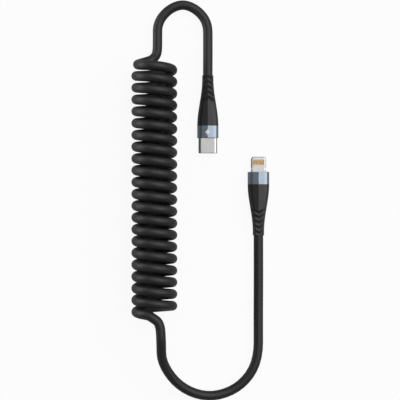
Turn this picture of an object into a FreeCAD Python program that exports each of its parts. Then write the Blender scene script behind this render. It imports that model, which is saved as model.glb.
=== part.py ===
import FreeCAD
import Part
import Sketcher
import math
import os

# A coiled charging cable lying on a table: an oval charger plug, a curly cord and a phone plug.
# Millimetres; +Z is up, the cord rests on z = 0 and the coil runs along Y.

SIZES = (
    # cord and coil
    ("cord_diameter", 4.2, "outside of the jacket"),
    ("coil_diameter", 20.0, "outside of the turns"),
    ("coil_turns", 21, "turns wound close together"),
    ("coil_pitch", 5.124, "from one turn to the next"),
    ("coil_axis_x", -20.0, "axis of the coil"),
    ("coil_end_y", 61.15, "end of the coil on the charger side"),
    ("charger_lead_offset", 1.3, "lead beside the coil's axis, under it"),
    ("phone_lead_offset", 3.0, "lead beside the coil's axis, above it"),
    ("charger_coil_stub", 8.45, "lead straight out of the coil"),
    ("phone_coil_stub", 9.85, "lead straight out of the coil"),
    ("charger_plug_stub", 4.3, "lead straight out of the boot"),
    ("phone_plug_stub", 6.45, "lead straight out of the boot"),
    # where the two plugs lie, at the cord end of each boot
    ("charger_plug_x", 3.43, "axis of the charger plug"),
    ("charger_plug_y", 54.7, "cord end of the charger plug"),
    ("phone_plug_x", 25.69, "axis of the phone plug"),
    ("phone_plug_y", -15.55, "cord end of the phone plug"),
    # faceted section of the collars
    ("collar_thickness", 5.4, "from ridge to ridge"),
    ("facet_width", 5.0, "across the two facets beside a ridge"),
    ("ridge_rise", 0.38, "ridge above the outer edges of its facets"),
    ("bevel_width", 1.2, "bevel beside each facet"),
    ("bevel_drop", 0.45, "fall of that bevel"),
    ("side_height", 1.0, "upright strip along each side"),
    ("collar_edge", 0.2, "rounding of the front edge"),
    # the same section where the boot meets the cord
    ("neck_wall", 0.375, "boot beside the cord"),
    ("neck_crown", 0.55, "boot above and below the cord"),
    ("neck_facet_width", 2.4, "across the two facets beside a ridge"),
    ("neck_ridge_rise", 0.22, "ridge above the outer edges of its facets"),
    ("neck_bevel_width", 0.6, "bevel beside each facet"),
    ("neck_bevel_drop", 0.5, "fall of that bevel"),
    ("neck_side_height", 1.0, "upright strip along each side"),
    # boots and their strain relief grooves
    ("boot_wall", 0.9, "boot around the inner mould"),
    ("jacket_depth", 6.0, "cord jacket inside the boot"),
    ("groove_count", 5, "chevron grooves on each boot"),
    ("groove_start", 0.75, "bottom of the first groove from the cord end"),
    ("groove_pitch", 2.25, "from one groove to the next"),
    ("groove_flank", 1.0, "sloping side of a groove, along the boot"),
    ("groove_margin", 0.1, "a groove's sides drawn past its rim and past the boot"),
    ("groove_sweep", 2.4, "how far a groove runs back at its ends"),
    ("groove_depth", 0.4, "depth at the cord end"),
    ("groove_depth_wide", 0.65, "depth if carried on to the collar"),
    # charger plug
    ("charger_boot_length", 22.1, "boot of the charger plug"),
    ("charger_collar_length", 5.4, "collar of the charger plug"),
    ("charger_side_wall", 0.525, "collar beside the shell"),
    ("shell_width", 8.25, "oval steel shell, outside"),
    ("shell_height", 2.4, "oval steel shell, outside"),
    ("shell_reach", 6.65, "shell in front of the collar"),
    ("shell_wall", 0.25, "sheet of the shell"),
    ("shell_edge", 0.2, "rounding of the shell's rim"),
    ("mouth_width", 6.9, "opening for the socket's tongue"),
    ("mouth_height", 1.0, "opening for the socket's tongue"),
    ("mouth_depth", 5.6, "opening for the socket's tongue"),
    ("mouth_recess", 0.3, "insulator behind the shell's rim"),
    ("pin_pitch", 0.5, "from one contact place to the next"),
    ("pin_width", 0.25, "contact strip"),
    ("pin_thickness", 0.15, "contact strip"),
    ("pin_tail", 2.2, "strip lying on the board"),
    ("pin_setback", 1.25, "end of the strip behind the rim"),
    ("pin_bump_length", 0.6, "raised contact point"),
    ("pin_bump_height", 0.18, "raised contact point"),
    ("pin_bump_setback", 0.5, "contact point behind the end of the strip"),
    ("latch_thickness", 0.3, "side latch sheet"),
    ("latch_arm", 0.2, "width of a latch arm"),
    ("latch_web", 0.5, "cross piece behind the mouth"),
    ("latch_setback", 1.5, "end of an arm behind the rim"),
    ("latch_hook", 0.25, "hook into the mouth"),
    ("latch_hook_length", 0.9, "hook along the arm"),
    ("spring_width", 5.4, "ground spring"),
    ("spring_thickness", 0.12, "ground spring"),
    ("spring_strip", 0.3, "front strip of the ground spring"),
    ("spring_finger", 0.35, "length of its fingers"),
    ("spring_fingers", 4, "fingers on each spring"),
    ("spring_slit", 0.3, "gap between two fingers"),
    ("spring_setback", 0.45, "front of the spring behind the rim"),
    ("charger_board_width", 5.2, "circuit board"),
    ("charger_board_length", 8.0, "circuit board"),
    # small parts on the boards
    ("resistor_length", 1.6, "chip resistor"),
    ("resistor_width", 0.8, "chip resistor"),
    ("resistor_height", 0.45, "chip resistor"),
    ("capacitor_length", 1.6, "chip capacitor"),
    ("capacitor_width", 0.8, "chip capacitor"),
    ("capacitor_height", 0.8, "chip capacitor"),
    ("parts_spread", 2.4, "between the two small parts"),
    ("parts_setback", 4.1, "small parts behind the boot's front face"),
    ("wire_diameter", 0.8, "insulated wires of the cord"),
    ("wire_spread", 1.2, "between wires side by side"),
    ("wire_overlap", 1.8, "wire lying over the board"),
    ("solder_height", 0.1, "solder between wire and board"),
    # phone plug
    ("phone_boot_length", 22.48, "boot of the phone plug"),
    ("phone_collar_length", 5.4, "collar of the phone plug"),
    ("phone_side_wall", 0.925, "collar beside its socket"),
    ("tab_width", 6.7, "flat steel tab"),
    ("tab_thickness", 1.5, "flat steel tab"),
    ("tab_reach", 6.7, "tab in front of the collar"),
    ("tab_corner", 1.3, "corners of the tip"),
    ("tab_edge_flat", 0.05, "flat left between the rounded edges, each side of the middle"),
    ("tab_slack", 0.05, "collar opening around the tab"),
    ("plate_thickness", 1.2, "front wall of the phone collar"),
    ("flange_step", 0.4, "flange of the tab beyond its sides"),
    ("flange_height", 2.9, "flange of the tab"),
    ("flange_thickness", 1.0, "flange of the tab"),
    ("flange_slack", 0.05, "collar socket around the flange"),
    ("window_width", 5.3, "window for the contacts"),
    ("window_length", 3.4, "window for the contacts"),
    ("window_setback", 0.9, "window behind the tip"),
    ("detent_radius", 0.45, "round notch in each side of the tab"),
    ("detent_depth", 0.3, "round notch in each side of the tab"),
    ("detent_setback", 5.3, "notch behind the tip"),
    ("contact_count", 8, "contacts on each face"),
    ("contact_pitch", 0.63, "from one contact to the next"),
    ("contact_width", 0.46, "contact plate"),
    ("contact_length", 2.0, "contact plate"),
    ("contact_setback", 1.5, "contact behind the tip"),
    ("contact_proud", 0.02, "contact above the face"),
    ("phone_board_width", 4.8, "circuit board"),
    ("phone_board_thickness", 0.6, "circuit board"),
    ("phone_board_tail", 9.0, "board behind the collar"),
    ("phone_board_setback", 1.5, "front of the board behind the tip"),
    ("chip_side", 2.8, "control chip"),
    ("chip_height", 0.8, "control chip"),
    ("chip_setback", 3.6, "middle of the chip behind the boot's front face"),
)

# Places with a contact strip, of the twelve in each row of the charger plug.
UPPER_PINS = (1, 4, 5, 6, 7, 9, 12)
LOWER_PINS = (1, 4, 5, 9, 12)
PIN_PLACES = 12

# Shares of a boot's length at which its section is drawn, and the share where it starts to widen.
BOOT_STATIONS = (0.0, 0.12, 0.34, 0.56, 0.78, 1.0)
SWELL_START = 0.09
MOULD_STATIONS = BOOT_STATIONS[3:]

# How far an inset draws in each corner of the faceted section, across and in height:
# by a wall all round, and by a groove that runs out at the sides.
WALL_PULL = ((0.2, 1.0), (0.7, 0.7), (1.0, 0.4))
GROOVE_PULL = ((0.2, 1.0), (0.5, 0.8), (0.0, 0.0))

# Points of the two free leads between their straight stubs at the plugs and at the coil.
CHARGER_LEAD_BENDS = (
    (3.47, 69.5, 2.12), (3.43, 78.23, 2.1), (-0.79, 84.04, 2.1), (-7.62, 86.26, 2.1),
    (-14.45, 84.04, 2.1), (-18.67, 78.23, 2.1),
)
PHONE_LEAD_BENDS = (
    (-17.27, -71.45, 12.6), (-9.06, -82.75, 7.2), (4.23, -87.07, 3.4), (17.52, -82.75, 2.1),
    (25.73, -71.45, 2.1), (25.65, -53.5, 2.1), (25.74, -36.0, 2.12),
)
BEND_SHARE = 0.45

NORMAL = FreeCAD.Vector(0, 0, 1)

doc = FreeCAD.newDocument("coiled_charging_cable")
sheet = doc.addObject("Spreadsheet::Sheet", "dim")
for row, (alias, value, note) in enumerate(SIZES, start=1):
    sheet.set(f"A{row}", note)
    sheet.set(f"B{row}", str(value))
    sheet.setAlias(f"B{row}", alias)
doc.recompute()

charger_width = "(dim.shell_width + 2 * dim.charger_side_wall)"
charger_front = "(dim.charger_boot_length + dim.charger_collar_length)"
charger_tip = f"({charger_front} + dim.shell_reach)"
socket_width = "(dim.tab_width + 2 * dim.flange_step + 2 * dim.flange_slack)"
socket_height = "(dim.flange_height + 2 * dim.flange_slack)"
phone_width = f"({socket_width} + 2 * dim.phone_side_wall)"
phone_front = "(dim.phone_boot_length + dim.phone_collar_length)"
phone_tip = f"({phone_front} + dim.tab_reach)"


def number(expression):
    result = sheet.evalExpression(expression)
    return float(getattr(result, "Value", result))


def size(alias):
    return number(f"dim.{alias}")


def plug_frame(name, x, y, turn):
    # origin on the plug's axis at the cord end of its boot, +Y towards the tip
    frame = doc.addObject("App::Placement", name)
    frame.setExpression(".Placement.Base.x", x)
    frame.setExpression(".Placement.Base.y", y)
    frame.setExpression(".Placement.Base.z", "dim.collar_thickness / 2")
    frame.setExpression(".Placement.Rotation.Angle", turn)
    return name


def seat(item, frame, corner=("0", "0", "0"), tilt=0):
    x, y, z = corner
    item.setExpression(
        ".Placement",
        f"{frame}.Placement * placement(vector({x}; {y}; {z}); rotation(vector(1; 0; 0); {tilt}))")
    return item


def new_body(name, frame):
    body = doc.addObject("PartDesign::Body", name)
    return seat(body, frame)


def new_sketch(body, role, lift):
    # on XY the lift is a height, on XZ it is a distance along the plug
    sketch = body.newObject("Sketcher::SketchObject", f"{body.Name}_outline")
    plane = next(item for item in body.Origin.OriginFeatures if item.Role == role)
    sketch.AttachmentSupport = [(plane, "")]
    sketch.MapMode = "FlatFace"
    sign = "-" if role == "XZ_Plane" else ""
    sketch.setExpression(".AttachmentOffset.Base.z", f"{sign}({lift})")
    return sketch


def fix_point(sketch, geometry, place, x, y):
    for kind, axis, expression in (("DistanceX", -2, x), ("DistanceY", -1, y)):
        if expression == "0":
            sketch.addConstraint(Sketcher.Constraint("PointOnObject", geometry, place, axis))
            continue
        value = number(expression)
        made = sketch.addConstraint(Sketcher.Constraint(kind, -1, 1, geometry, place, value))
        sketch.setExpression(f"Constraints[{made}]", expression)


def bind_radius(sketch, geometry, expression):
    made = sketch.addConstraint(Sketcher.Constraint("Radius", geometry, number(expression)))
    sketch.setExpression(f"Constraints[{made}]", expression)


def polygon(sketch, corners):
    first = sketch.GeometryCount
    count = len(corners)
    points = [flat(number(x), number(y)) for x, y in corners]
    for index in range(count):
        sketch.addGeometry(Part.LineSegment(points[index], points[(index + 1) % count]))
    for index in range(count):
        following = first + (index + 1) % count
        sketch.addConstraint(Sketcher.Constraint("Coincident", first + index, 2, following, 1))
    for index, (x, y) in enumerate(corners):
        fix_point(sketch, first + index, 1, x, y)


def rectangle(sketch, left, right, low, high):
    polygon(sketch, [(left, low), (right, low), (right, high), (left, high)])


def flat(x, y):
    return FreeCAD.Vector(x, y, 0)


def arc(sketch, x, y, radius, start, end):
    circle = Part.Circle(flat(number(x), number(y)), NORMAL, number(radius))
    made = sketch.addGeometry(Part.ArcOfCircle(circle, math.radians(start), math.radians(end)))
    fix_point(sketch, made, 3, x, y)
    bind_radius(sketch, made, radius)
    return made


def tangent_line(sketch, first_arc, first_place, second_arc, second_place):
    start = sketch.getPoint(first_arc, first_place)
    end = sketch.getPoint(second_arc, second_place)
    line = sketch.addGeometry(Part.LineSegment(start, end))
    sketch.addConstraint(Sketcher.Constraint("Tangent", first_arc, first_place, line, 1))
    sketch.addConstraint(Sketcher.Constraint("Tangent", second_arc, second_place, line, 2))


def obround(sketch, width, height):
    # a flat oval: two half circles joined by straight lines
    reach = f"(({width}) - ({height})) / 2"
    radius = f"({height}) / 2"
    right = arc(sketch, reach, "0", radius, -90, 90)
    left = arc(sketch, f"-({reach})", "0", radius, 90, 270)
    tangent_line(sketch, right, 2, left, 1)
    tangent_line(sketch, left, 2, right, 1)


def pad(body, sketch, length, reverse=False, middle=False):
    feature = body.newObject("PartDesign::Pad", f"{body.Name}_pad")
    feature.Profile = sketch
    feature.setExpression("Length", length)
    feature.Reversed = reverse
    if middle:
        feature.SideType = "Symmetric"
    return feature


def pocket(body, sketch, length, reverse=False, middle=False):
    feature = body.newObject("PartDesign::Pocket", f"{body.Name}_pocket")
    feature.Profile = sketch
    feature.setExpression("Length", length)
    feature.Reversed = reverse
    if middle:
        feature.SideType = "Symmetric"
    return feature


def fillet(body, radius, wanted):
    doc.recompute()
    base = body.Tip
    edges = [f"Edge{index}" for index, edge in enumerate(base.Shape.Edges, start=1) if wanted(edge)]
    feature = body.newObject("PartDesign::Fillet", f"{body.Name}_fillet")
    feature.Base = (base, edges)
    feature.setExpression("Radius", radius)
    return feature


def box(name, frame, corner, sides):
    block = doc.addObject("Part::Box", name)
    for side, expression in zip(("Length", "Width", "Height"), sides):
        block.setExpression(side, expression)
    return seat(block, frame, corner)


def rod(name, frame, start, radius, length):
    # a cylinder along the plug
    cylinder = doc.addObject("Part::Cylinder", name)
    cylinder.setExpression("Radius", radius)
    cylinder.setExpression("Height", length)
    return seat(cylinder, frame, start, tilt=-90)


def group(name, items):
    compound = doc.addObject("Part::Compound", name)
    compound.Links = items
    return compound


def joined(name, items):
    union = doc.addObject("Part::MultiFuse", name)
    union.Shapes = items
    return union


def cut(name, base, tool):
    result = doc.addObject("Part::Cut", name)
    result.Base = base
    result.Tool = tool
    return result


def swell(share):
    # widening of a boot from its neck (0) to its collar (1), flat at both ends
    travel = max(0.0, (share - SWELL_START) / (1 - SWELL_START))
    return travel * travel * (3 - 2 * travel)


def blend(widening, neck, collar):
    return f"({1 - widening:.6f} * ({neck}) + {widening:.6f} * ({collar}))"


def all_round(inset):
    # the same inset all round a section
    return lambda across: inset


def section(width, widening, inset=all_round("0"), pulls=WALL_PULL, margin="0"):
    # corners of the faceted section, from the upper ridge round by the right side
    half_width = blend(widening, "dim.cord_diameter / 2 + dim.neck_wall", f"{width} / 2")
    half_height = blend(widening, "dim.cord_diameter / 2 + dim.neck_crown", "dim.collar_thickness / 2")
    facet = blend(widening, "dim.neck_facet_width / 2", "dim.facet_width / 2")
    rise = blend(widening, "dim.neck_ridge_rise", "dim.ridge_rise")
    bevel = blend(widening, "dim.neck_bevel_width", "dim.bevel_width")
    drop = blend(widening, "dim.neck_bevel_drop", "dim.bevel_drop")
    side = blend(widening, "dim.neck_side_height / 2", "dim.side_height / 2")
    corners = (
        (f"({facet} + {margin})", f"({half_height} - {rise})"),
        (f"({facet} + {bevel} + {margin})", f"({half_height} - {rise} - {drop})"),
        (f"({half_width} + {margin})", side),
    )
    quarter = []
    for (x, z), (pull_x, pull_z) in zip(corners, pulls):
        quarter.append((f"({x} - {pull_x} * {inset(x)})", f"({z} - {pull_z} * {inset(x)})"))
    ridge = f"({half_height} - {inset('0')})"
    right = quarter + [(x, f"-{z}") for x, z in reversed(quarter)]
    left = [(f"-{x}", z) for x, z in reversed(right)]
    return [("0", ridge)] + right + [("0", f"-{ridge}")] + left


def faceted_loft(name, frame, width, stations, pulls=WALL_PULL, margin="0", ruled=False):
    # stations are (place along the plug, widening, inset)
    body = new_body(name, frame)
    outlines = []
    for place, widening, inset in stations:
        sketch = new_sketch(body, "XZ_Plane", place)
        polygon(sketch, section(width, widening, inset, pulls, margin))
        outlines.append(sketch)
    loft = body.newObject("PartDesign::AdditiveLoft", f"{name}_loft")
    loft.Profile = outlines[0]
    loft.Sections = outlines[1:]
    loft.Ruled = ruled
    return body


def boot_station(length, share, inset="0"):
    return f"{share} * {length}", swell(share), all_round(inset)


def mould_form(name, frame, width, length):
    # the space inside a boot, in front of the end of the cord's jacket
    start = size("jacket_depth") / number(length)
    stations = [("dim.jacket_depth", swell(start), all_round("dim.boot_wall"))]
    stations += [boot_station(length, share, "dim.boot_wall") for share in MOULD_STATIONS]
    return faceted_loft(name, frame, width, stations, ruled=True)


def groove(name, frame, width, length, index):
    # a V round the boot, pointed at the ridges: a chevron less two forms that slope down to its bottom
    bottom = f"(dim.groove_start + {index} * dim.groove_pitch)"
    depth = blend(swell(number(bottom) / number(length)), "dim.groove_depth", "dim.groove_depth_wide")
    half = f"({width} / 2)"

    def flank(place, sign):
        swept = f"({place} - dim.groove_sweep * {{0}} / {half} - {bottom})"
        return lambda across: f"({depth} * (1 {sign} {swept.format(across)} / dim.groove_flank))"

    strip = new_body(f"{name}_strip", frame)
    sketch = new_sketch(strip, "XY_Plane", "0")
    reach = "(dim.groove_flank + dim.groove_margin)"
    start = f"({bottom} - {reach})"
    swept_start = f"({start} + dim.groove_sweep)"
    near_edge = [(f"-{half}", swept_start), ("0", start), (half, swept_start)]
    far_edge = [(x, f"({y} + 2 * {reach})") for x, y in reversed(near_edge)]
    polygon(sketch, near_edge + far_edge)
    pad(strip, sketch, "2 * dim.collar_thickness", middle=True)
    ends = (f"({start} - dim.groove_margin)", f"({swept_start} + 2 * {reach} + dim.groove_margin)")
    remains = strip
    for sign in ("+", "-"):
        stations = [(place, swell(number(place) / number(length)), flank(place, sign)) for place in ends]
        slope = faceted_loft(f"{name}_slope", frame, width, stations, GROOVE_PULL, "dim.groove_margin", True)
        remains = cut(f"{name}_cut", remains, slope)
    return remains


def boot(name, frame, width, length, filling):
    stations = [boot_station(length, share) for share in BOOT_STATIONS]
    form = faceted_loft(f"{name}_form", frame, width, stations)
    count = int(size("groove_count"))
    grooves = [groove(f"{name}_groove", frame, width, length, index) for index in range(count)]
    grooved = cut(f"{name}_grooved", form, group(f"{name}_grooves", grooves))
    bore = rod(f"{name}_bore", frame, ("0", "0", "0"), "dim.cord_diameter / 2", "dim.jacket_depth")
    return cut(name, grooved, joined(f"{name}_filling", [filling, bore]))


def collar_form(name, frame, width, start, length):
    body = new_body(name, frame)
    sketch = new_sketch(body, "XZ_Plane", start)
    polygon(sketch, section(width, 1.0))
    pad(body, sketch, length, reverse=True)
    front = number(f"{start} + {length}")
    fillet(body, "dim.collar_edge", lambda edge: all(abs(v.Y - front) < 1e-6 for v in edge.Vertexes))
    return body


def wires(name, frame, board_thickness, end):
    # four insulated wires from the end of the jacket, two on each face of the board
    radius = "dim.wire_diameter / 2"
    height = f"({board_thickness} / 2 + dim.solder_height + {radius})"
    items = []
    for across in ("-dim.wire_spread / 2", "dim.wire_spread / 2"):
        for up in (f"-{height}", height):
            length = f"{end} - dim.jacket_depth"
            items.append(rod(f"{name}_wire", frame, (across, "dim.jacket_depth", up), radius, length))
    return group(name, items)


def board_part(name, frame, kind, x, y, board_top):
    sides = (f"dim.{kind}_width", f"dim.{kind}_length", f"dim.{kind}_height")
    corner = (f"{x} - {sides[0]} / 2", f"{y} - {sides[1]} / 2", board_top)
    return box(name, frame, corner, sides)


def pin_row(name, frame, places, upper):
    body = new_body(name, frame)
    level = "dim.mouth_height / 2" if upper else "-dim.mouth_height / 2"
    end = f"{charger_tip} - dim.pin_setback"
    bump_end = f"{end} - dim.pin_bump_setback"
    spans = (
        ("dim.charger_boot_length - dim.pin_tail", end, "dim.pin_thickness", not upper),
        (f"{bump_end} - dim.pin_bump_length", bump_end, "dim.pin_bump_height", upper),
    )
    for low, high, thickness, reverse in spans:
        sketch = new_sketch(body, "XY_Plane", level)
        for place in places:
            middle = f"({place - (PIN_PLACES + 1) / 2} * dim.pin_pitch)"
            rectangle(sketch, f"{middle} - dim.pin_width / 2", f"{middle} + dim.pin_width / 2", low, high)
        pad(body, sketch, thickness, reverse=reverse)
    return body


def latch(name, frame):
    # a U of spring steel whose arms hook into the socket's sides
    body = new_body(name, frame)
    sketch = new_sketch(body, "XY_Plane", "0")
    inner = "dim.mouth_width / 2"
    outer = f"({inner} + dim.latch_arm)"
    web_front = f"({charger_tip} - dim.mouth_recess - dim.mouth_depth)"
    web_back = f"({web_front} - dim.latch_web)"
    end = f"({charger_tip} - dim.latch_setback)"
    hook = f"({inner} - dim.latch_hook)"
    right = [
        (outer, web_back), (outer, end), (inner, end), (hook, f"{end} - dim.latch_hook_length / 3"),
        (inner, f"{end} - dim.latch_hook_length"), (inner, web_front)]
    polygon(sketch, right + [(f"-{x}", y) for x, y in reversed(right)])
    pad(body, sketch, "dim.latch_thickness", middle=True)
    return body


def ground_springs(name, frame):
    # one comb of spring fingers above the mouth and one below it
    body = new_body(name, frame)
    count = int(size("spring_fingers"))
    front = f"({charger_tip} - dim.spring_setback)"
    root = f"({front} - dim.spring_strip)"
    finger_end = f"({root} - dim.spring_finger)"
    step = f"((dim.spring_width + dim.spring_slit) / {count})"
    corners = [("dim.spring_width / 2", front), ("-dim.spring_width / 2", front)]
    for index in range(count):
        start = f"(-dim.spring_width / 2 + {index} * {step})"
        end = f"({start} + {step} - dim.spring_slit)"
        if index > 0:
            corners.append((start, root))
        corners += [(start, finger_end), (end, finger_end)]
        if index < count - 1:
            corners.append((end, root))
    for level, reverse in (("dim.mouth_height / 2", False), ("-dim.mouth_height / 2", True)):
        sketch = new_sketch(body, "XY_Plane", level)
        polygon(sketch, corners)
        pad(body, sketch, "dim.spring_thickness", reverse=reverse)
    return body


def charger_plug(frame):
    boot_end = "dim.charger_boot_length"
    shell_length = "dim.charger_collar_length + dim.shell_reach"
    bore_width = "dim.shell_width - 2 * dim.shell_wall"
    bore_height = "dim.shell_height - 2 * dim.shell_wall"

    shell = new_body("charger_plug_shell", frame)
    sketch = new_sketch(shell, "XZ_Plane", boot_end)
    obround(sketch, "dim.shell_width", "dim.shell_height")
    obround(sketch, bore_width, bore_height)
    pad(shell, sketch, shell_length, reverse=True)
    tip = number(charger_tip)
    outer_flat = number(f"({bore_width}) / 2")
    half_bore = number(f"({bore_height}) / 2")

    def outer_rim(edge):
        middle = edge.valueAt((edge.FirstParameter + edge.LastParameter) / 2)
        outside = abs(middle.z) > half_bore + 1e-6 or abs(middle.x) > outer_flat + 1e-6
        return outside and all(abs(v.Y - tip) < 1e-6 for v in edge.Vertexes)

    fillet(shell, "dim.shell_edge", outer_rim)

    collar = collar_form("charger_plug_collar", frame, charger_width, boot_end, "dim.charger_collar_length")
    sketch = new_sketch(collar, "XZ_Plane", boot_end)
    obround(sketch, "dim.shell_width", "dim.shell_height")
    pocket(collar, sketch, "dim.charger_collar_length")

    upper = pin_row("charger_plug_contacts_upper", frame, UPPER_PINS, upper=True)
    lower = pin_row("charger_plug_contacts_lower", frame, LOWER_PINS, upper=False)
    side_latch = latch("charger_plug_latch", frame)
    springs = ground_springs("charger_plug_ground_springs", frame)

    form = new_body("charger_plug_insulator_form", frame)
    sketch = new_sketch(form, "XZ_Plane", boot_end)
    obround(sketch, bore_width, bore_height)
    pad(form, sketch, f"{shell_length} - dim.mouth_recess", reverse=True)
    sketch = new_sketch(form, "XZ_Plane", f"{charger_tip} - dim.mouth_recess - dim.mouth_depth")
    half_width = "dim.mouth_width / 2"
    half_height = "dim.mouth_height / 2"
    rectangle(sketch, f"-{half_width}", half_width, f"-{half_height}", half_height)
    pocket(form, sketch, "dim.mouth_depth")
    inserts = joined("charger_plug_inserts", [upper, lower, side_latch, springs])
    insulator = cut("charger_plug_insulator", form, inserts)

    # the board is as thick as the mouth is high, so that the contact strips lie flat on it
    board_back = f"({boot_end} - dim.charger_board_length)"
    board = box(
        "charger_plug_board", frame,
        ("-dim.charger_board_width / 2", board_back, "-dim.mouth_height / 2"),
        ("dim.charger_board_width", "dim.charger_board_length", "dim.mouth_height"))
    middle = f"({boot_end} - dim.parts_setback)"
    beside = "dim.parts_spread / 2"
    resistor = board_part("charger_plug_resistor", frame, "resistor", beside, middle, half_height)
    capacitor = board_part("charger_plug_capacitor", frame, "capacitor", f"-{beside}", middle, half_height)
    wire_end = f"({board_back} + dim.wire_overlap)"
    leads = wires("charger_plug_wires", frame, "dim.mouth_height", wire_end)

    filling = mould_form("charger_plug_mould_form", frame, charger_width, boot_end)
    held = joined("charger_plug_held", [board, resistor, capacitor, leads, upper, lower])
    mould = cut("charger_plug_inner_mould", filling, held)
    cover = boot("charger_plug_boot", frame, charger_width, boot_end, filling)
    return [shell, collar, upper, lower, side_latch, springs, insulator, board, resistor, capacitor,
            leads, mould, cover]


def tab_outline(sketch, start):
    # the tab in plan: straight sides and a tip with round corners
    half = "dim.tab_width / 2"
    corner_x = f"({half} - dim.tab_corner)"
    corner_y = f"({phone_tip} - dim.tab_corner)"
    right = arc(sketch, corner_x, corner_y, "dim.tab_corner", 0, 90)
    left = arc(sketch, f"-{corner_x}", corner_y, "dim.tab_corner", 90, 180)
    tangent_line(sketch, right, 2, left, 1)
    ends = []
    for made, place, x in ((right, 1, half), (left, 2, f"-{half}")):
        top = sketch.getPoint(made, place)
        line = sketch.addGeometry(Part.LineSegment(top, flat(top.x, number(start))))
        sketch.addConstraint(Sketcher.Constraint("Tangent", made, place, line, 1))
        fix_point(sketch, line, 2, x, start)
        ends.append(line)
    base = sketch.addGeometry(Part.LineSegment(sketch.getPoint(ends[0], 2), sketch.getPoint(ends[1], 2)))
    sketch.addConstraint(Sketcher.Constraint("Coincident", ends[0], 2, base, 1))
    sketch.addConstraint(Sketcher.Constraint("Coincident", ends[1], 2, base, 2))


def tab_form(frame):
    body = new_body("phone_plug_tab_form", frame)
    start = f"({phone_front} - dim.plate_thickness)"
    sketch = new_sketch(body, "XY_Plane", "0")
    tab_outline(sketch, start)
    pad(body, sketch, "dim.tab_thickness", middle=True)
    base = number(start)
    face = size("tab_thickness") / 2

    def long_edge(edge):
        at_face = all(abs(abs(v.Z) - face) < 1e-6 for v in edge.Vertexes)
        return at_face and any(v.Y > base + 1e-6 for v in edge.Vertexes)

    fillet(body, "dim.tab_thickness / 2 - dim.tab_edge_flat", long_edge)
    sketch = new_sketch(body, "XZ_Plane", f"{start} - dim.flange_thickness")
    obround(sketch, "dim.tab_width + 2 * dim.flange_step", "dim.flange_height")
    pad(body, sketch, "dim.flange_thickness", reverse=True)
    sketch = new_sketch(body, "XY_Plane", "0")
    contact_window(sketch)
    notch = "(dim.tab_width / 2 + dim.detent_radius - dim.detent_depth)"
    for x in (notch, f"-{notch}"):
        y = f"({phone_tip} - dim.detent_setback)"
        centre = flat(number(x), number(y))
        made = sketch.addGeometry(Part.Circle(centre, NORMAL, size("detent_radius")))
        fix_point(sketch, made, 3, x, y)
        bind_radius(sketch, made, "dim.detent_radius")
    pocket(body, sketch, "2 * dim.tab_thickness", middle=True)
    return body


def contact_window(sketch):
    high = f"({phone_tip} - dim.window_setback)"
    rectangle(sketch, "-dim.window_width / 2", "dim.window_width / 2", f"{high} - dim.window_length", high)


def contact_row(name, frame, front):
    body = new_body(name, frame)
    sign = "" if front else "-"
    sketch = new_sketch(body, "XY_Plane", f"{sign}(dim.phone_board_thickness / 2)")
    high = f"({phone_tip} - dim.contact_setback)"
    count = int(size("contact_count"))
    for index in range(count):
        middle = f"({index - (count - 1) / 2} * dim.contact_pitch)"
        rectangle(
            sketch, f"{middle} - dim.contact_width / 2", f"{middle} + dim.contact_width / 2",
            f"{high} - dim.contact_length", high)
    rise = "dim.tab_thickness / 2 + dim.contact_proud - dim.phone_board_thickness / 2"
    pad(body, sketch, rise, reverse=not front)
    return body


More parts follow.
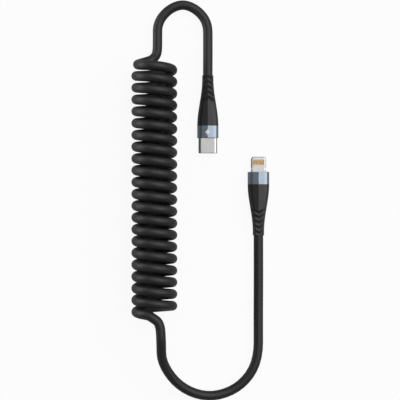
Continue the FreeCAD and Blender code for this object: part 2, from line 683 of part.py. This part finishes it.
def phone_plug(frame):
    boot_end = "dim.phone_boot_length"
    board_half = "dim.phone_board_thickness / 2"
    board_back = f"({boot_end} - dim.phone_board_tail)"
    board = box(
        "phone_plug_board", frame,
        ("-dim.phone_board_width / 2", board_back, f"-{board_half}"),
        ("dim.phone_board_width", f"{phone_tip} - dim.phone_board_setback - {board_back}",
         "dim.phone_board_thickness"))
    tab = cut("phone_plug_tab", tab_form(frame), board)

    front_row = contact_row("phone_plug_contacts_front", frame, front=True)
    back_row = contact_row("phone_plug_contacts_back", frame, front=False)
    form = new_body("phone_plug_carrier_form", frame)
    sketch = new_sketch(form, "XY_Plane", "0")
    contact_window(sketch)
    pad(form, sketch, "dim.tab_thickness", middle=True)
    inserts = joined("phone_plug_inserts", [board, front_row, back_row])
    carrier = cut("phone_plug_contact_carrier", form, inserts)

    collar = collar_form("phone_plug_collar", frame, phone_width, boot_end, "dim.phone_collar_length")
    sketch = new_sketch(collar, "XZ_Plane", boot_end)
    obround(sketch, "dim.tab_width + 2 * dim.tab_slack", "dim.tab_thickness + 2 * dim.tab_slack")
    pocket(collar, sketch, "dim.phone_collar_length")
    sketch = new_sketch(collar, "XZ_Plane", boot_end)
    obround(sketch, socket_width, socket_height)
    pocket(collar, sketch, "dim.phone_collar_length - dim.plate_thickness")

    chip_middle = f"({boot_end} - dim.chip_setback)"
    chip = box(
        "phone_plug_chip", frame,
        ("-dim.chip_side / 2", f"{chip_middle} - dim.chip_side / 2", board_half),
        ("dim.chip_side", "dim.chip_side", "dim.chip_height"))
    middle = f"({boot_end} - dim.parts_setback)"
    under = f"-{board_half} - dim.capacitor_height"
    capacitors = group("phone_plug_capacitors", [
        board_part("phone_plug_capacitor", frame, "capacitor", x, middle, under)
        for x in ("-dim.parts_spread / 2", "dim.parts_spread / 2")])
    wire_end = f"({board_back} + dim.wire_overlap)"
    leads = wires("phone_plug_wires", frame, "dim.phone_board_thickness", wire_end)

    filling = mould_form("phone_plug_mould_form", frame, phone_width, boot_end)
    nose = new_body("phone_plug_mould_nose", frame)
    sketch = new_sketch(nose, "XZ_Plane", boot_end)
    obround(sketch, socket_width, socket_height)
    pad(nose, sketch, "dim.phone_collar_length - dim.plate_thickness - dim.flange_thickness", reverse=True)
    held = joined("phone_plug_held", [board, chip, capacitors, leads])
    mould = cut("phone_plug_inner_mould", joined("phone_plug_mould_whole", [filling, nose]), held)
    cover = boot("phone_plug_boot", frame, phone_width, boot_end, filling)
    return [tab, front_row, back_row, carrier, collar, board, chip, capacitors, leads, mould, cover]


def coil():
    # the outer shape of the wound turns, open along the middle
    frame = doc.addObject("App::Placement", "coil_frame")
    frame.setExpression(".Placement.Base.x", "dim.coil_axis_x")
    frame.setExpression(".Placement.Base.y", "dim.coil_end_y")
    frame.setExpression(".Placement.Base.z", "dim.coil_diameter / 2")
    body = new_body("cord_coil", "coil_frame")
    sketch = new_sketch(body, "XZ_Plane", "0")
    for radius in ("dim.coil_diameter / 2", "dim.coil_diameter / 2 - dim.cord_diameter"):
        made = sketch.addGeometry(Part.Circle(flat(0, 0), NORMAL, number(radius)))
        fix_point(sketch, made, 3, "0", "0")
        bind_radius(sketch, made, radius)
    pad(body, sketch, "dim.coil_turns * dim.coil_pitch + dim.cord_diameter")
    return body


def coil_end_point(offset, y, upper):
    # on the ring of strands, a little to the right of the axis
    ring = (size("coil_diameter") - size("cord_diameter")) / 2
    rise = math.sqrt(ring * ring - offset * offset)
    height = size("coil_diameter") / 2 + (rise if upper else -rise)
    return FreeCAD.Vector(size("coil_axis_x") + offset, y, height)


def along(distance):
    return FreeCAD.Vector(0, distance, 0)


def lead(name, route):
    # a round tube along straight runs joined by tangent arcs, each as large as its runs allow
    edges = []
    start = route[0]
    radii = []
    for before, corner, after in zip(route, route[1:], route[2:]):
        back = (before - corner).normalize()
        ahead = (after - corner).normalize()
        turn = math.pi - back.getAngle(ahead)
        reach = BEND_SHARE * min(before.distanceToPoint(corner), corner.distanceToPoint(after))
        radius = reach / math.tan(turn / 2)
        radii.append(radius)
        arc_start = corner + back * reach
        arc_end = corner + ahead * reach
        centre_line = (back + ahead).normalize()
        arc_middle = corner + centre_line * (math.hypot(radius, reach) - radius)
        edges.append(Part.LineSegment(start, arc_start).toShape())
        edges.append(Part.Arc(arc_start, arc_middle, arc_end).toShape())
        start = arc_end
    edges.append(Part.LineSegment(start, route[-1]).toShape())
    path = Part.Wire(edges)
    ring = Part.Wire(Part.makeCircle(size("cord_diameter") / 2, route[0], route[1] - route[0]))
    item = doc.addObject("Part::Feature", name)
    item.Shape = path.makePipeShell([ring], True, False)
    ideal = math.pi * (size("cord_diameter") / 2) ** 2 * path.Length
    print(f"{name}: length {path.Length:.1f}, radii {', '.join(f'{r:.1f}' for r in radii)}, "
          f"volume {item.Shape.Volume:.1f} of {ideal:.1f}")
    return item


def leads():
    axis_height = size("collar_thickness") / 2
    boot_exit = FreeCAD.Vector(size("charger_plug_x"), size("charger_plug_y"), axis_height)
    coil_exit = coil_end_point(size("charger_lead_offset"), size("coil_end_y"), upper=False)
    charger_route = [boot_exit - along(size("jacket_depth")), boot_exit + along(size("charger_plug_stub"))]
    charger_route += [FreeCAD.Vector(*point) for point in CHARGER_LEAD_BENDS]
    charger_route += [coil_exit + along(size("charger_coil_stub")), coil_exit]

    coil_length = size("coil_turns") * size("coil_pitch") + size("cord_diameter")
    boot_exit = FreeCAD.Vector(size("phone_plug_x"), size("phone_plug_y"), axis_height)
    coil_exit = coil_end_point(size("phone_lead_offset"), size("coil_end_y") - coil_length, upper=True)
    phone_route = [coil_exit, coil_exit - along(size("phone_coil_stub"))]
    phone_route += [FreeCAD.Vector(*point) for point in PHONE_LEAD_BENDS]
    phone_route += [boot_exit - along(size("phone_plug_stub")), boot_exit + along(size("jacket_depth"))]
    return [lead("cord_lead_charger_end", charger_route), lead("cord_lead_phone_end", phone_route)]


def check(pieces):
    doc.recompute()
    faults = [item.Name for item in doc.Objects if {"Invalid", "Error"} & set(item.State)]
    for item in pieces:
        if item.Shape.isNull() or not item.Shape.isValid() or not item.Shape.Solids:
            faults.append(item.Label)
    if faults:
        raise RuntimeError("failed: " + ", ".join(faults))


charger_frame = plug_frame("charger_plug_frame", "dim.charger_plug_x", "dim.charger_plug_y", "180")
phone_frame = plug_frame("phone_plug_frame", "dim.phone_plug_x", "dim.phone_plug_y", "0")
parts = charger_plug(charger_frame) + phone_plug(phone_frame) + [coil()] + leads()
check(parts)
os.makedirs("parts", exist_ok=True)
for part in parts:
    part.Shape.exportStep(f"parts/{part.Label}.step")
    print(part.Label, len(part.Shape.Solids), f"{part.Shape.Volume:.3f}")
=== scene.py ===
import math

import bmesh
import bpy
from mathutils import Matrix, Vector


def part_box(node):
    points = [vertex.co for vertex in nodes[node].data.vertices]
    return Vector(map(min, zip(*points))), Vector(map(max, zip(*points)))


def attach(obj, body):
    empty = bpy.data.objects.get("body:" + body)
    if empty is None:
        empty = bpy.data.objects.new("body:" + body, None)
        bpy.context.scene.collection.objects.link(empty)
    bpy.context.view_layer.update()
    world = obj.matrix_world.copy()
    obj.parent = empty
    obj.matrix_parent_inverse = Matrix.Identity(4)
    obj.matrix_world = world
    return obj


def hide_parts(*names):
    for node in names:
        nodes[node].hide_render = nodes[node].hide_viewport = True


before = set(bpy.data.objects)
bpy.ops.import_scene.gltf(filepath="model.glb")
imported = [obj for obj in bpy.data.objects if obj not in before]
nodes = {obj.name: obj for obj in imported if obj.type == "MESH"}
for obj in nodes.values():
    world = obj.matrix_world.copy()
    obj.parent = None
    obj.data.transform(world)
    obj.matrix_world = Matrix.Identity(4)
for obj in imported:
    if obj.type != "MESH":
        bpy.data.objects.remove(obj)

# Coiled charging cable, seen from straight above. Places are in millimetres until they reach Blender.
mm = 0.001
scene = bpy.context.scene
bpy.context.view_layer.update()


def place(point):
    return Vector(point) * mm


def colour(hexCode):
    # sRGB hex to linear, with full opacity
    shares = [int(hexCode[i:i + 2], 16) / 255 for i in (1, 3, 5)]
    return [s / 12.92 if s <= 0.04045 else ((s + 0.055) / 1.055) ** 2.4 for s in shares] + [1.0]


def addNode(tree, kind, settings=None, links=None):
    # a setting is a socket's value where the node has that socket, and otherwise a property of the node
    node = tree.nodes.new(kind)
    for name, value in (settings or {}).items():
        if isinstance(name, int) or name in node.inputs:
            node.inputs[name].default_value = value
        else:
            setattr(node, name, value)
    for name, source in (links or {}).items():
        tree.links.new(source, node.inputs[name])
    return node


def newMaterial(name, settings):
    material = bpy.data.materials.new(name)
    material.use_nodes = True
    tree = material.node_tree
    shader = tree.nodes["Principled BSDF"]
    for socket, value in settings.items():
        shader.inputs[socket].default_value = value
    return material, tree, shader


# camera: its height and lens give the photograph's scale and perspective
overhead = {"height": 635.0, "lens": 129.4, "sensor": 36.0, "nearest": 10.0, "farthest": 20000.0}

cameraData = bpy.data.cameras.new("overheadCamera")
cameraData.lens = overhead["lens"]
cameraData.sensor_width = overhead["sensor"]
cameraData.clip_start = overhead["nearest"] * mm
cameraData.clip_end = overhead["farthest"] * mm
camera = bpy.data.objects.new("overheadCamera", cameraData)
camera.location = place((0.0, 0.0, overhead["height"]))
scene.collection.objects.link(camera)
scene.camera = camera
print("camera: straight down from", overhead["height"], "mm")

# cord: one length from plug to plug, its coil wound left-handed and lying on the floor
cord = {
    "diameter": 4.2,
    "length": 1283.0,
    "exit": (3.43, 54.7, 2.7),  # where it leaves the charger plug's boot
    "chargerLead": (
        (3.43, 48.7, 2.7), (3.43, 59.0, 2.7), (3.47, 69.5, 2.12), (3.43, 77.9, 2.1),
        (-1.05, 83.7, 2.1), (-7.62, 86.5, 2.1), (-14.2, 83.7, 2.1), (-18.67, 77.9, 2.1),
        (-18.7, 71.0, 2.1), (-18.7, 66.6, 2.1), (-19.2, 63.6, 2.1), (-21.2, 61.6, 2.2),
        (-23.6, 60.7, 3.5), (-26.25, 59.7, 6.2), (-27.25, 58.9, 10.0), (-26.4, 58.35, 13.8),
        (-23.8, 57.95, 17.1)),
    "phoneLead": (
        (-20.3, -50.7, 18.0), (-18.2, -52.1, 17.9), (-17.2, -54.2, 17.7), (-16.85, -57.0, 17.5),
        (-16.7, -60.9, 17.2), (-16.6, -71.0, 12.6), (-8.5, -82.2, 7.2), (4.23, -87.07, 3.4),
        (17.52, -82.75, 2.1), (25.73, -71.45, 2.1), (25.65, -53.5, 2.1), (25.74, -36.0, 2.12),
        (25.69, -22.0, 2.7), (25.69, -9.55, 2.7)),
    "coilAxis": (-19.85, 10.0),  # X and Z of the line that the turns go round
    "coilTop": 59.05,  # Y of the first bump on the left, from which the turns are counted in degrees
    "coilRadius": 7.9,
    "coilPitch": 5.124,
    "coilFrom": 90.0,
    "coilTo": 21 * 360 + 75.0,
    "pointsPerTurn": 16,
    "roundness": 10,
    "smoothness": 5,
}


def coilPoints():
    # the line runs inside its control points, so they stand further out than the coil's radius
    reach = cord["coilRadius"] / math.cos(math.pi / cord["pointsPerTurn"])
    swept = cord["coilTo"] - cord["coilFrom"]
    count = round(swept / 360 * cord["pointsPerTurn"])
    for i in range(count + 1):
        turned = cord["coilFrom"] + swept * i / count
        angle = math.radians(turned)
        yield (cord["coilAxis"][0] - reach * math.cos(angle),
               cord["coilTop"] - cord["coilPitch"] * turned / 360,
               cord["coilAxis"][1] + reach * math.sin(angle))


cordRoute = [*cord["chargerLead"], *coilPoints(), *cord["phoneLead"]]
cordData = bpy.data.curves.new("cord", "CURVE")
cordData.dimensions = "3D"
cordData.bevel_depth = 1.0  # each point carries the cord's own radius, so that the piece's box is the cord's
cordData.bevel_resolution = cord["roundness"]
cordData.use_fill_caps = True
cordLine = cordData.splines.new("NURBS")
cordLine.points.add(len(cordRoute) - 1)
for point, target in zip(cordLine.points, cordRoute):
    point.co = (*place(target), 1.0)
    point.radius = cord["diameter"] / 2 * mm
cordLine.order_u = 3
cordLine.use_endpoint_u = True
cordLine.resolution_u = cord["smoothness"]
cordPiece = bpy.data.objects.new("cord", cordData)
scene.collection.objects.link(cordPiece)
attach(cordPiece, "root")
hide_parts("cord_lead_charger_end", "cord_coil", "cord_lead_phone_end")
print("cord:", len(cordRoute), "control points")

# Every finish has two tones that drift into each other over a cloud's width, and a grain that gives relief.
# The grain's three sizes are along X, Y and Z, so that drawn or rolled metal has long streaks. The marks of
# blasting, moulding and plating are finer than that in reality, and are drawn coarser so that they show.
layers = {"cloud": 3.0, "grain": 2.0}  # how many finer layers each noise has


def finish(name, look):
    material, tree, shader = newMaterial(name, look["shader"])
    where = addNode(tree, "ShaderNodeTexCoord")
    cloud = addNode(tree, "ShaderNodeTexNoise",
                    {"Scale": 1 / (look["cloud"] * mm), "Detail": layers["cloud"]},
                    {"Vector": where.outputs["Object"]})
    deep, pale = (colour(tone) for tone in look["tones"])  # sockets 6 and 7 of the mix
    tint = addNode(tree, "ShaderNodeMix", {"data_type": "RGBA", 6: deep, 7: pale}, {0: cloud.outputs["Fac"]})
    tree.links.new(tint.outputs[2], shader.inputs["Base Color"])
    stretch = addNode(tree, "ShaderNodeMapping", {"Scale": [1 / (size * mm) for size in look["grain"]]},
                      {"Vector": where.outputs["Object"]})
    grain = addNode(tree, "ShaderNodeTexNoise", {"Scale": 1.0, "Detail": layers["grain"]},
                    {"Vector": stretch.outputs["Vector"]})
    smooth, rough = look["roughness"]
    gloss = addNode(tree, "ShaderNodeMapRange", {"To Min": smooth, "To Max": rough},
                    {"Value": grain.outputs["Fac"]})
    tree.links.new(gloss.outputs["Result"], shader.inputs["Roughness"])
    relief = addNode(tree, "ShaderNodeBump", {"Strength": look["strength"], "Distance": look["relief"] * mm},
                     {"Height": grain.outputs["Fac"]})
    tree.links.new(relief.outputs["Normal"], shader.inputs["Normal"])
    return material


metal = {"Metallic": 1.0}
nonMetal = {"IOR": 1.5}
looks = {
    # thermoplastic elastomer, extruded: deep grey with a soft broad shine and the faint grain of a matt die
    "extrudedElastomer": {
        "shader": nonMetal, "tones": ("#19191a", "#1f1f20"), "cloud": 9.0, "roughness": (0.42, 0.54),
        "grain": (0.35, 0.35, 0.35), "strength": 0.25, "relief": 0.02},
    # thermoplastic elastomer, moulded: the same grey, with the clearer shine of a fine-textured mould
    "mouldedElastomer": {
        "shader": nonMetal, "tones": ("#1a1a1b", "#212122"), "cloud": 5.0, "roughness": (0.3, 0.42),
        "grain": (0.3, 0.3, 0.3), "strength": 0.35, "relief": 0.03},
    # aluminium, bead blasted and anodised blue-grey: a satin face with a fine sparkle
    "anodisedAluminium": {
        "shader": metal, "tones": ("#88939f", "#97a2af"), "cloud": 3.0, "roughness": (0.24, 0.4),
        "grain": (0.22, 0.22, 0.22), "strength": 0.15, "relief": 0.01},
    # steel, deep drawn and nickel plated: clear reflections, streaked along the draw
    "nickelPlatedSteel": {
        "shader": metal, "tones": ("#c5c5c4", "#d0d0cf"), "cloud": 4.0, "roughness": (0.16, 0.3),
        "grain": (0.2, 4.0, 0.2), "strength": 0.1, "relief": 0.006},
    # stainless steel, sintered and tumbled: pale satin with no direction
    "tumbledSteel": {
        "shader": metal, "tones": ("#cfcfce", "#dadad9"), "cloud": 2.5, "roughness": (0.26, 0.38),
        "grain": (0.25, 0.25, 0.25), "strength": 0.12, "relief": 0.008},
    # spring steel, cold rolled: darker, with roll marks along the strip
    "rolledSpringSteel": {
        "shader": metal, "tones": ("#a5a5a4", "#b6b6b5"), "cloud": 2.0, "roughness": (0.2, 0.36),
        "grain": (0.12, 2.0, 0.12), "strength": 0.12, "relief": 0.005},
    # copper alloy, stamped and gold plated: warm and smooth with a few wipe marks
    "goldPlate": {
        "shader": metal, "tones": ("#ad7a1e", "#c9962f"), "cloud": 0.8, "roughness": (0.22, 0.36),
        "grain": (0.1, 1.2, 0.1), "strength": 0.1, "relief": 0.004},
    # glass-filled nylon, moulded black: fine fibres near the surface scatter its shine
    "blackNylon": {
        "shader": nonMetal, "tones": ("#161617", "#1e1e1f"), "cloud": 1.5, "roughness": (0.4, 0.6),
        "grain": (0.1, 0.5, 0.1), "strength": 0.2, "relief": 0.01},
    # liquid crystal polymer, moulded white: milky and slightly glossy
    "whiteCrystalPolymer": {
        "shader": nonMetal, "tones": ("#e3e3e2", "#ececeb"), "cloud": 1.5, "roughness": (0.32, 0.48),
        "grain": (0.15, 0.15, 0.15), "strength": 0.1, "relief": 0.006},
    # screen ink, printed and baked: opaque white with a slight gloss
    "printedInk": {
        "shader": nonMetal, "tones": ("#fafafa", "#ffffff"), "cloud": 1.0, "roughness": (0.3, 0.42),
        "grain": (0.15, 0.15, 0.15), "strength": 0.1, "relief": 0.004},
    # glass epoxy board under green solder mask: the weave shows faintly through
    "solderMask": {
        "shader": nonMetal, "tones": ("#12502c", "#1c6238"), "cloud": 1.2, "roughness": (0.2, 0.36),
        "grain": (0.3, 0.3, 0.3), "strength": 0.2, "relief": 0.01},
    # epoxy package, transfer moulded: dull black
    "epoxyPackage": {
        "shader": nonMetal, "tones": ("#1b1b1c", "#252526"), "cloud": 0.8, "roughness": (0.5, 0.68),
        "grain": (0.12, 0.12, 0.12), "strength": 0.25, "relief": 0.008},
    # barium titanate, fired: tan with a stony grain
    "firedCeramic": {
        "shader": nonMetal, "tones": ("#8a6a45", "#a08056"), "cloud": 0.5, "roughness": (0.4, 0.55),
        "grain": (0.1, 0.1, 0.1), "strength": 0.2, "relief": 0.006},
    # soft vinyl, extruded red: the sheath of the single wires
    "softVinyl": {
        "shader": nonMetal, "tones": ("#a32626", "#b43131"), "cloud": 1.0, "roughness": (0.34, 0.48),
        "grain": (0.1, 1.5, 0.1), "strength": 0.15, "relief": 0.005},
    # polyethylene, injected round the board: waxy and off-white
    "waxyPolyethylene": {
        "shader": nonMetal, "tones": ("#c9c8c2", "#d6d5cf"), "cloud": 2.0, "roughness": (0.38, 0.55),
        "grain": (0.3, 0.3, 0.3), "strength": 0.15, "relief": 0.01},
}
materials = {name: finish(name, look) for name, look in looks.items()}

# the finish of each piece, by what its node's name says after the plug's
wears = {
    "boot": "mouldedElastomer", "collar": "anodisedAluminium", "shell": "nickelPlatedSteel",
    "insulator": "blackNylon", "contacts_upper": "goldPlate", "contacts_lower": "goldPlate",
    "latch": "rolledSpringSteel", "ground_springs": "rolledSpringSteel", "board": "solderMask",
    "resistor": "epoxyPackage", "capacitor": "firedCeramic", "capacitors": "firedCeramic",
    "wires": "softVinyl", "inner_mould": "waxyPolyethylene", "tab": "tumbledSteel",
    "contact_carrier": "whiteCrystalPolymer", "contacts_front": "goldPlate", "contacts_back": "goldPlate",
    "chip": "epoxyPackage",
}
for name, piece in nodes.items():
    if "_plug_" in name:
        piece.data.materials.clear()
        piece.data.materials.append(materials[wears[name.split("_plug_")[1]]])
cordData.materials.append(materials["extrudedElastomer"])
print("finishes:", len(materials))

# sign: a plain bolt, the common sign for charging, printed across the ridge of the charger plug's collar
sign = {
    "centre": (3.3, 29.8),
    "outline": ((0.5, 1.65), (-1.2, -0.34), (-0.22, -0.34), (-0.5, -1.65), (1.2, 0.38), (0.27, 0.38)),
    "proud": 0.02,
    "thickness": 0.05,
    "drop": 1.0,  # height above the collar from which its corners are dropped on it
}


def printedSign(carrier, ridge):
    shape = bmesh.new()
    middleX, middleY = sign["centre"]
    shape.faces.new([shape.verts.new(place((middleX + x, middleY + y, 0.0))) for x, y in sign["outline"]])
    bmesh.ops.bisect_plane(shape, geom=[*shape.verts, *shape.edges, *shape.faces],
                           plane_co=(ridge, 0.0, 0.0), plane_no=(1.0, 0.0, 0.0))
    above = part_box(carrier.name)[1].z + sign["drop"] * mm
    for corner in shape.verts:
        landing = carrier.ray_cast((corner.co.x, corner.co.y, above), (0.0, 0.0, -1.0))[1]
        corner.co.z = landing.z + sign["proud"] * mm
    sunk = bmesh.ops.extrude_face_region(shape, geom=list(shape.faces))["geom"]
    for corner in sunk:
        if isinstance(corner, bmesh.types.BMVert):
            corner.co.z -= sign["thickness"] * mm
    bmesh.ops.recalc_face_normals(shape, faces=list(shape.faces))
    mesh = bpy.data.meshes.new("charging_sign")
    shape.to_mesh(mesh)
    shape.free()
    return bpy.data.objects.new("charging_sign", mesh)


signPiece = printedSign(nodes["charger_plug_collar"], cord["exit"][0] * mm)
scene.collection.objects.link(signPiece)
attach(signPiece, "root")
signPiece.data.materials.append(materials["printedInk"])
print("sign:", len(signPiece.data.polygons), "faces")

# floor: board that the camera sees as white, with the object's faint shadow on it. It lights the object as a
# grey one would, and metal mirrors it paler than that grey.
floor = {
    "side": 8000.0, "tone": "#9a9a9a", "seenTone": "#ffffff", "roughness": 0.9,
    "glow": 0.92, "mirrored": 0.3,
}

half = floor["side"] / 2
floorMesh = bpy.data.meshes.new("floor")
floorCorners = ((-half, -half, 0), (half, -half, 0), (half, half, 0), (-half, half, 0))
floorMesh.from_pydata([place(corner) for corner in floorCorners], [], [(0, 1, 2, 3)])
floorPiece = bpy.data.objects.new("floor", floorMesh)
scene.collection.objects.link(floorPiece)
whiteBoard, tree, shader = newMaterial("whiteBoard", {"Roughness": floor["roughness"]})
path = addNode(tree, "ShaderNodeLightPath")
paint = addNode(tree, "ShaderNodeMix",
                {"data_type": "RGBA", 6: colour(floor["tone"]), 7: colour(floor["seenTone"])},
                {0: path.outputs["Is Camera Ray"]})
tree.links.new(paint.outputs[2], shader.inputs["Base Color"])
mirrored = addNode(tree, "ShaderNodeMath", {"operation": "MULTIPLY", 1: floor["mirrored"]},
                   {0: path.outputs["Is Glossy Ray"]})
seenOrMirrored = addNode(tree, "ShaderNodeMath", {"operation": "MAXIMUM"},
                         {0: path.outputs["Is Camera Ray"], 1: mirrored.outputs[0]})
seen = addNode(tree, "ShaderNodeMath", {"operation": "MAXIMUM"},
               {0: seenOrMirrored.outputs[0], 1: path.outputs["Is Transmission Ray"]})
share = addNode(tree, "ShaderNodeMath", {"operation": "MULTIPLY", 1: floor["glow"]}, {0: seen.outputs[0]})
glow = addNode(tree, "ShaderNodeEmission", {"Color": (1, 1, 1, 1), "Strength": 1.0})
mix = addNode(tree, "ShaderNodeMixShader", {},
              {0: share.outputs[0], 1: shader.outputs[0], 2: glow.outputs[0]})
tree.links.new(mix.outputs[0], tree.nodes["Material Output"].inputs["Surface"])
floorMesh.materials.append(whiteBoard)
print("floor: glows", floor["glow"])

# sky: dim on the left and bright on the right, fading towards the floor, in a band across the coil that leans
# towards the charger end
sky = {
    "towards": (0.78, 0.32, 0.0), "dim": 0.1, "dimTo": -0.315, "bright": 2.5, "brightFrom": 0.535,
    "low": 0.16, "lowFrom": 0.15, "lowTo": 0.8,  # the share that is left near the floor
    "lean": 0.3, "off": 0.1, "offFrom": 0.3, "offTo": 0.7,  # the band, and the share that is left beside it
    "rest": 0.19,  # no direction is darker than this
}

world = bpy.data.worlds.new("studio")
scene.world = world
world.use_nodes = True
tree = world.node_tree
where = addNode(tree, "ShaderNodeTexCoord")
side = addNode(tree, "ShaderNodeVectorMath", {"operation": "DOT_PRODUCT", 1: sky["towards"]},
               {0: where.outputs["Generated"]})
level = addNode(tree, "ShaderNodeMapRange",
                {"interpolation_type": "SMOOTHSTEP", "From Min": sky["dimTo"], "From Max": sky["brightFrom"],
                 "To Min": sky["dim"], "To Max": sky["bright"]},
                {"Value": side.outputs["Value"]})
direction = addNode(tree, "ShaderNodeSeparateXYZ", {}, {"Vector": where.outputs["Generated"]})
upward = addNode(tree, "ShaderNodeMapRange",
                 {"interpolation_type": "SMOOTHSTEP", "From Min": sky["lowFrom"], "From Max": sky["lowTo"],
                  "To Min": sky["low"], "To Max": 1.0},
                 {"Value": direction.outputs["Z"]})
dome = addNode(tree, "ShaderNodeMath", {"operation": "MULTIPLY"},
               {0: level.outputs["Result"], 1: upward.outputs["Result"]})
leaning = addNode(tree, "ShaderNodeMath", {"operation": "SUBTRACT", 1: sky["lean"]},
                  {0: direction.outputs["Y"]})
across = addNode(tree, "ShaderNodeMath", {"operation": "ABSOLUTE"}, {0: leaning.outputs[0]})
band = addNode(tree, "ShaderNodeMapRange",
               {"interpolation_type": "SMOOTHSTEP", "From Min": sky["offFrom"], "From Max": sky["offTo"],
                "To Min": 1.0, "To Max": sky["off"]},
               {"Value": across.outputs[0]})
bandedDome = addNode(tree, "ShaderNodeMath", {"operation": "MULTIPLY"},
                     {0: dome.outputs[0], 1: band.outputs["Result"]})
strength = addNode(tree, "ShaderNodeMath", {"operation": "MAXIMUM", 1: sky["rest"]},
                   {0: bandedDome.outputs[0]})
background = tree.nodes["Background"]
background.inputs["Color"].default_value = (1, 1, 1, 1)
tree.links.new(strength.outputs[0], background.inputs["Strength"])
print("sky: from", sky["dim"], "to", sky["bright"])

# lamp: low and broad on the left, where it picks out the ends of the turns
sideLamp = {"at": (-212.0, 65.0, 56.0), "aim": (-28.0, 0.0, 10.0), "size": (260.0, 90.0), "watts": 0.24}

lampData = bpy.data.lights.new("sideLamp", "AREA")
lampData.shape = "RECTANGLE"
lampData.size, lampData.size_y = (edge * mm for edge in sideLamp["size"])
lampData.energy = sideLamp["watts"]
lamp = bpy.data.objects.new("sideLamp", lampData)
lamp.location = place(sideLamp["at"])
lamp.rotation_euler = (place(sideLamp["aim"]) - lamp.location).to_track_quat("-Z", "Y").to_euler()
scene.collection.objects.link(lamp)

# it leaves the floor alone, where the end of its light would show as a line
unlit = bpy.data.collections.new("unlitBySideLamp")
unlit.objects.link(floorPiece)
lamp.light_linking.receiver_collection = unlit
unlit.collection_objects[0].light_linking.link_state = "EXCLUDE"
print("lamp:", sideLamp["watts"], "watts")

scene.view_settings.view_transform = "Standard"
bpy.context.view_layer.update()
